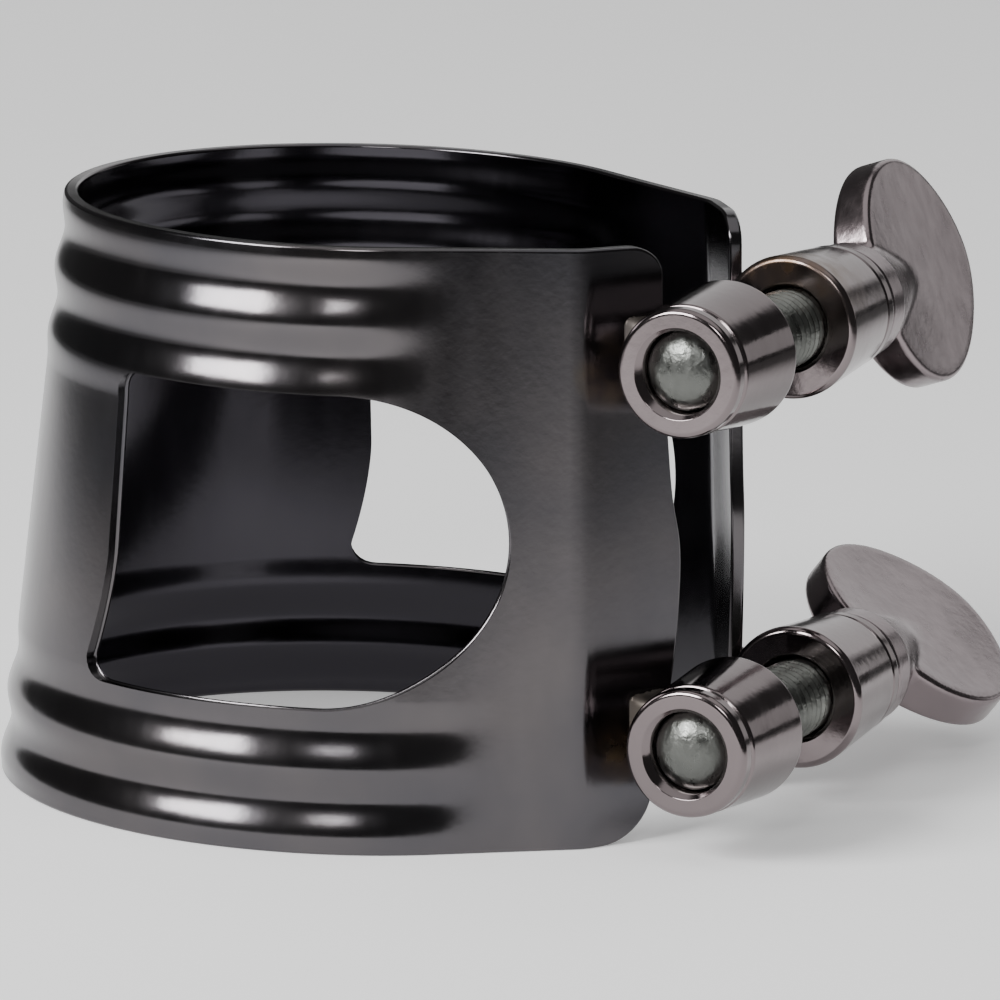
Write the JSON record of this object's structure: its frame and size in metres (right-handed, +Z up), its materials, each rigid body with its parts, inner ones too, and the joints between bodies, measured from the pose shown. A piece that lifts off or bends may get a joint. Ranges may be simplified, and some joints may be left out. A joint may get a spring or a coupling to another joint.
{
  "type": "saxophone ligature",
  "caption": "Sprung sheet-metal ligature band with windows, rolled beads, brazed posts and thumb screws that draw its seam closed round a mouthpiece and reed.",
  "frame": {"origin": "on the axis of the band, in the plane of its lower, wider rim", "axes": "+Z up the mouthpiece toward the narrower rim, -Y out through the seam, +X along the screws toward the thumb heads"},
  "size_m": [0.0366, 0.0386, 0.0254],
  "materials": {
    "black_nickel_sheet": "polished black nickel plate, lightly worn",
    "black_nickel_turned": "polished black nickel plate over turned brass",
    "black_nickel_cast": "polished black nickel plate, rubbed edges",
    "silver_solder": "plated over silver solder, slightly stained",
    "bright_screw_steel": "cut thread, satin nickel"
  },
  "bodies": {
    "near_side": {"band": "black_nickel_sheet", "upper_threaded_post": "black_nickel_turned", "upper_threaded_braze": "silver_solder", "lower_threaded_post": "black_nickel_turned", "lower_threaded_braze": "silver_solder"},
    "far_side": {"upper_plain_post": "black_nickel_turned", "upper_plain_braze": "silver_solder", "lower_plain_post": "black_nickel_turned", "lower_plain_braze": "silver_solder"},
    "upper_screw": {"upper_screw_shank": "bright_screw_steel", "upper_thumb_head": "black_nickel_cast"},
    "lower_screw": {"lower_screw_shank": "bright_screw_steel", "lower_thumb_head": "black_nickel_cast"}
  },
  "joints": [
    {"name": "jaw_close", "type": "slide", "parent": "near_side", "child": "far_side", "axis": [-1, 0, 0], "range_m": [-0.0005, 0.003], "deforming": ["band"]},
    {"name": "upper_screw_turn", "type": "hinge", "parent": "far_side", "child": "upper_screw", "pos_m": [0, -0.01808, 0.0206], "axis": [-1, 0, 0], "range_deg": [-361, 2161]},
    {"name": "lower_screw_turn", "type": "hinge", "parent": "far_side", "child": "lower_screw", "pos_m": [0, -0.01893, 0.00479], "axis": [-1, 0, 0], "range_deg": [-361, 2161]}
  ],
  "couplings": [
    {"joint": "upper_screw_turn", "follows": "jaw_close", "rad_per_m": 12566},
    {"joint": "lower_screw_turn", "follows": "jaw_close", "rad_per_m": 12566}
  ]
}
